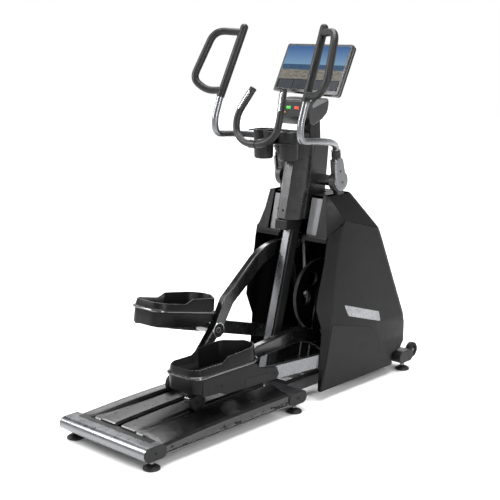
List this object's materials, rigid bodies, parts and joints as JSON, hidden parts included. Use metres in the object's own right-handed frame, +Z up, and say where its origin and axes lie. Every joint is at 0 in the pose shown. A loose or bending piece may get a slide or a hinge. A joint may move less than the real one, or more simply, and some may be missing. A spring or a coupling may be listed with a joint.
{
  "type": "elliptical trainer",
  "caption": "Front-drive elliptical trainer with rollers on slotted tracks, swinging loop handlebars, fixed contact handlebar and a tilted display console.",
  "frame": {"origin": "on the floor, at the centre of the overall box", "axes": "+X forward to the console, +Y to the user's left, +Z up"},
  "size_m": [1.8959, 0.8242, 1.734],
  "materials": {
    "black_steel": "satin black powder coat",
    "silver_paint": "metallic silver paint",
    "grey_paint": "metallic grey paint",
    "gloss_paint": "gloss black paint",
    "black_plastic": "moulded black plastic",
    "gloss_cover": "gloss black moulding",
    "charcoal_shell": "fine textured charcoal moulding",
    "grey_plastic": "grey moulding",
    "aluminium_rail": "anodised aluminium",
    "machined_steel": "machined steel",
    "cast_iron": "painted cast iron",
    "belt_rubber": "ribbed belt",
    "foam_rubber": "black moulded foam",
    "foot_rubber": "black rubber",
    "roller_tyre": "polyurethane tyre",
    "chrome_plate": "polished",
    "screen_glass": "dark glossy screen",
    "green_key": "green key",
    "red_key": "red key"
  },
  "bodies": {
    "frame": {"base_frame": "black_steel", "rear_tube": "silver_paint", "mid_tube": "grey_paint", "front_tube": "black_steel", "tube_caps": "black_plastic", "right_track_cover": "gloss_cover", "left_track_cover": "gloss_cover", "track_rails": "aluminium_rail", "upright_post": "silver_paint", "mast_cover": "gloss_cover", "post_collar": "black_plastic", "right_shell": "charcoal_shell", "left_shell": "charcoal_shell", "rear_cowl": "grey_plastic", "drive_frame": "black_steel", "drive_belt": "belt_rubber", "magnetic_brake": "black_steel", "pivot_shaft": "machined_steel", "power_inlet": "black_plastic", "console_neck": "black_plastic", "console_housing": "gloss_cover", "display": "screen_glass", "keypad_housing": "gloss_cover", "fixed_handlebar": "foam_rubber", "contact_plates": "chrome_plate", "accessory_tray": "black_plastic"},
    "crank": {"crankset": "machined_steel", "drive_pulley": "black_plastic"},
    "flywheel_body": {"flywheel": "cast_iron"},
    "idler": {"idler_pulley": "machined_steel"},
    "start_button": {"start_key": "green_key"},
    "stop_button": {"stop_key": "red_key"},
    "right_wheel": {"right_transport_wheel": "roller_tyre"},
    "left_wheel": {"left_transport_wheel": "roller_tyre"},
    "right_arm": {"right_grip": "foam_rubber", "right_handle": "silver_paint", "right_swing_arm": "black_steel", "right_pivot_cover": "silver_paint"},
    "right_block": {"right_arm_block": "machined_steel"},
    "right_pedal_arm": {"right_beam": "silver_paint", "right_pedal": "charcoal_shell", "right_foot_pad": "foot_rubber"},
    "right_link_arm": {"right_link": "gloss_paint"},
    "right_roller_wheel": {"right_roller": "roller_tyre"},
    "rear_right_pad": {"rear_right_foot": "foot_rubber"},
    "mid_right_pad": {"mid_right_foot": "foot_rubber"},
    "front_right_pad": {"front_right_foot": "foot_rubber"},
    "left_arm": {"left_grip": "foam_rubber", "left_handle": "silver_paint", "left_swing_arm": "black_steel", "left_pivot_cover": "silver_paint"},
    "left_block": {"left_arm_block": "machined_steel"},
    "left_pedal_arm": {"left_beam": "silver_paint", "left_pedal": "charcoal_shell", "left_foot_pad": "foot_rubber"},
    "left_link_arm": {"left_link": "gloss_paint"},
    "left_roller_wheel": {"left_roller": "roller_tyre"},
    "rear_left_pad": {"rear_left_foot": "foot_rubber"},
    "mid_left_pad": {"mid_left_foot": "foot_rubber"},
    "front_left_pad": {"front_left_foot": "foot_rubber"}
  },
  "joints": [
    {"name": "right_handle_swing", "type": "hinge", "parent": "frame", "child": "right_arm", "pos_m": [0.37, 0, 1.012], "axis": [0, 1, 0], "range_deg": [-13, 13]},
    {"name": "right_arm_level", "type": "hinge", "parent": "right_arm", "child": "right_block", "pos_m": [0.54, 0, 0.165], "axis": [0, 1, 0], "range_deg": [-10.7, 10.7]},
    {"name": "right_pedal_lift", "type": "hinge", "parent": "right_block", "child": "right_pedal_arm", "pos_m": [0.54, 0, 0.165], "axis": [0, 1, 0], "range_deg": [0, 11.64]},
    {"name": "right_link_turn", "type": "hinge", "parent": "right_pedal_arm", "child": "right_link_arm", "pos_m": [-0.2254, 0, 0.2145], "axis": [0, 1, 0], "range_deg": [-45, 0]},
    {"name": "right_roller_spin", "type": "hinge", "parent": "right_link_arm", "child": "right_roller_wheel", "pos_m": [-0.52308, 0, 0.156], "axis": [0, 1, 0], "continuous": true},
    {"name": "left_handle_swing", "type": "hinge", "parent": "frame", "child": "left_arm", "pos_m": [0.37, 0, 1.012], "axis": [0, 1, 0], "range_deg": [-13, 13]},
    {"name": "left_arm_level", "type": "hinge", "parent": "left_arm", "child": "left_block", "pos_m": [0.54, 0, 0.165], "axis": [0, 1, 0], "range_deg": [-10.7, 10.7]},
    {"name": "left_pedal_lift", "type": "hinge", "parent": "left_block", "child": "left_pedal_arm", "pos_m": [0.54, 0, 0.165], "axis": [0, 1, 0], "range_deg": [-11.64, 0]},
    {"name": "left_link_turn", "type": "hinge", "parent": "left_pedal_arm", "child": "left_link_arm", "pos_m": [-0.19965, 0, 0.368], "axis": [0, 1, 0], "range_deg": [0, 45]},
    {"name": "left_roller_spin", "type": "hinge", "parent": "left_link_arm", "child": "left_roller_wheel", "pos_m": [-0.41665, 0, 0.156], "axis": [0, 1, 0], "continuous": true},
    {"name": "crank_spin", "type": "hinge", "parent": "frame", "child": "crank", "pos_m": [0.43, 0, 0.433], "axis": [0, 1, 0], "continuous": true},
    {"name": "flywheel_spin", "type": "hinge", "parent": "frame", "child": "flywheel_body", "pos_m": [0.62, 0, 0.262], "axis": [0, 1, 0], "continuous": true},
    {"name": "idler_spin", "type": "hinge", "parent": "frame", "child": "idler", "pos_m": [0.49745, 0, 0.21757], "axis": [0, 1, 0], "continuous": true},
    {"name": "start_key_press", "type": "slide", "parent": "frame", "child": "start_button", "axis": [0.9992, 0, -0.0401], "range_m": [0, 0.003], "stiffness_N_per_m": 300},
    {"name": "stop_key_press", "type": "slide", "parent": "frame", "child": "stop_button", "axis": [0.9992, 0, -0.0401], "range_m": [0, 0.003], "stiffness_N_per_m": 300},
    {"name": "right_transport_wheel_spin", "type": "hinge", "parent": "frame", "child": "right_wheel", "pos_m": [0.908, -0.244, 0.088], "axis": [0, 1, 0], "continuous": true},
    {"name": "left_transport_wheel_spin", "type": "hinge", "parent": "frame", "child": "left_wheel", "pos_m": [0.908, 0.244, 0.088], "axis": [0, 1, 0], "continuous": true},
    {"name": "rear_right_foot_turn", "type": "hinge", "parent": "frame", "child": "rear_right_pad", "pos_m": [-0.888, -0.242, 0], "axis": [0, 0, 1], "continuous": true},
    {"name": "rear_left_foot_turn", "type": "hinge", "parent": "frame", "child": "rear_left_pad", "pos_m": [-0.888, 0.242, 0], "axis": [0, 0, 1], "continuous": true},
    {"name": "mid_right_foot_turn", "type": "hinge", "parent": "frame", "child": "mid_right_pad", "pos_m": [-0.016, -0.242, 0], "axis": [0, 0, 1], "continuous": true},
    {"name": "mid_left_foot_turn", "type": "hinge", "parent": "frame", "child": "mid_left_pad", "pos_m": [-0.016, 0.242, 0], "axis": [0, 0, 1], "continuous": true},
    {"name": "front_right_foot_turn", "type": "hinge", "parent": "frame", "child": "front_right_pad", "pos_m": [0.834, -0.242, 0], "axis": [0, 0, 1], "continuous": true},
    {"name": "front_left_foot_turn", "type": "hinge", "parent": "frame", "child": "front_left_pad", "pos_m": [0.834, 0.242, 0], "axis": [0, 0, 1], "continuous": true}
  ],
  "couplings": [
    {"joint": "left_handle_swing", "follows": "right_handle_swing", "ratio": -1},
    {"joint": "right_arm_level", "follows": "right_handle_swing", "ratio": -0.82},
    {"joint": "left_arm_level", "follows": "right_handle_swing", "ratio": 0.82},
    {"joint": "left_pedal_lift", "follows": "right_pedal_lift", "ratio": -1},
    {"joint": "right_link_turn", "follows": "right_pedal_lift", "ratio": -3.8517},
    {"joint": "left_link_turn", "follows": "right_pedal_lift", "ratio": 3.8517},
    {"joint": "flywheel_spin", "follows": "crank_spin", "ratio": 5.8333},
    {"joint": "idler_spin", "follows": "crank_spin", "ratio": -6.7308}
  ]
}
